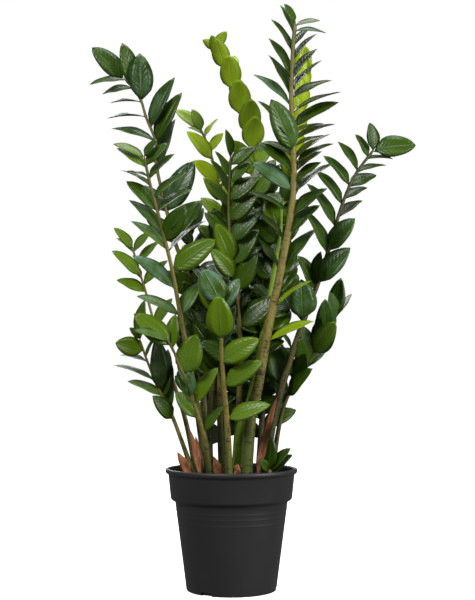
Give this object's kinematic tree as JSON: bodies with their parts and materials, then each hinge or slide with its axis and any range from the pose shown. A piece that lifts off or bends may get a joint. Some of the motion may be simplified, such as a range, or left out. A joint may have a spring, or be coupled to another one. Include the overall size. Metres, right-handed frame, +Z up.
{
  "type": "potted zz plant",
  "caption": "Potted zz plant: a clump of upright fleshy stalks with oval glossy leaflets, rooted in soil in a round tapered plastic nursery pot with a collar.",
  "frame": {"origin": "centre of the pot's flat base, on the surface that it stands on", "axes": "+Z up along the pot's axis, +X to the right seen from the front, -Y towards the front of the plant"},
  "size_m": [0.6195, 0.3346, 1.0459],
  "materials": {
    "pot_plastic": "satin",
    "soil": "matt, crumbly",
    "tuber_skin": "matt",
    "leaf_dark": "glossy, waxy",
    "leaf_bright": "glossy, waxy",
    "leaf_lime": "glossy, waxy",
    "dry_sheath": "matt"
  },
  "bodies": {
    "root": {"frond_back_centre": "leaf_dark", "frond_back_left": "leaf_dark", "frond_back_right": "leaf_dark", "frond_bright_back": "leaf_bright", "frond_dark_middle": "leaf_dark", "frond_far_left": "leaf_dark", "frond_left_front": "leaf_dark", "frond_lime_left": "leaf_lime", "frond_low_front_left": "leaf_dark", "frond_low_left": "leaf_dark", "frond_low_right": "leaf_dark", "frond_right": "leaf_dark", "frond_short_front": "leaf_bright", "frond_tall_centre": "leaf_dark", "frond_tall_left": "leaf_dark", "frond_young_folded": "leaf_lime", "pot": "pot_plastic", "sheath_bud": "dry_sheath", "sheath_left": "dry_sheath", "sheath_left_inner": "dry_sheath", "sheath_left_long": "dry_sheath", "sheath_middle": "dry_sheath", "sheath_right_long": "dry_sheath", "shoot_small_right": "leaf_dark", "soil": "soil", "tuber_back": "tuber_skin", "tuber_left": "tuber_skin", "tuber_middle": "tuber_skin", "tuber_right": "tuber_skin"}
  },
  "joints": []
}
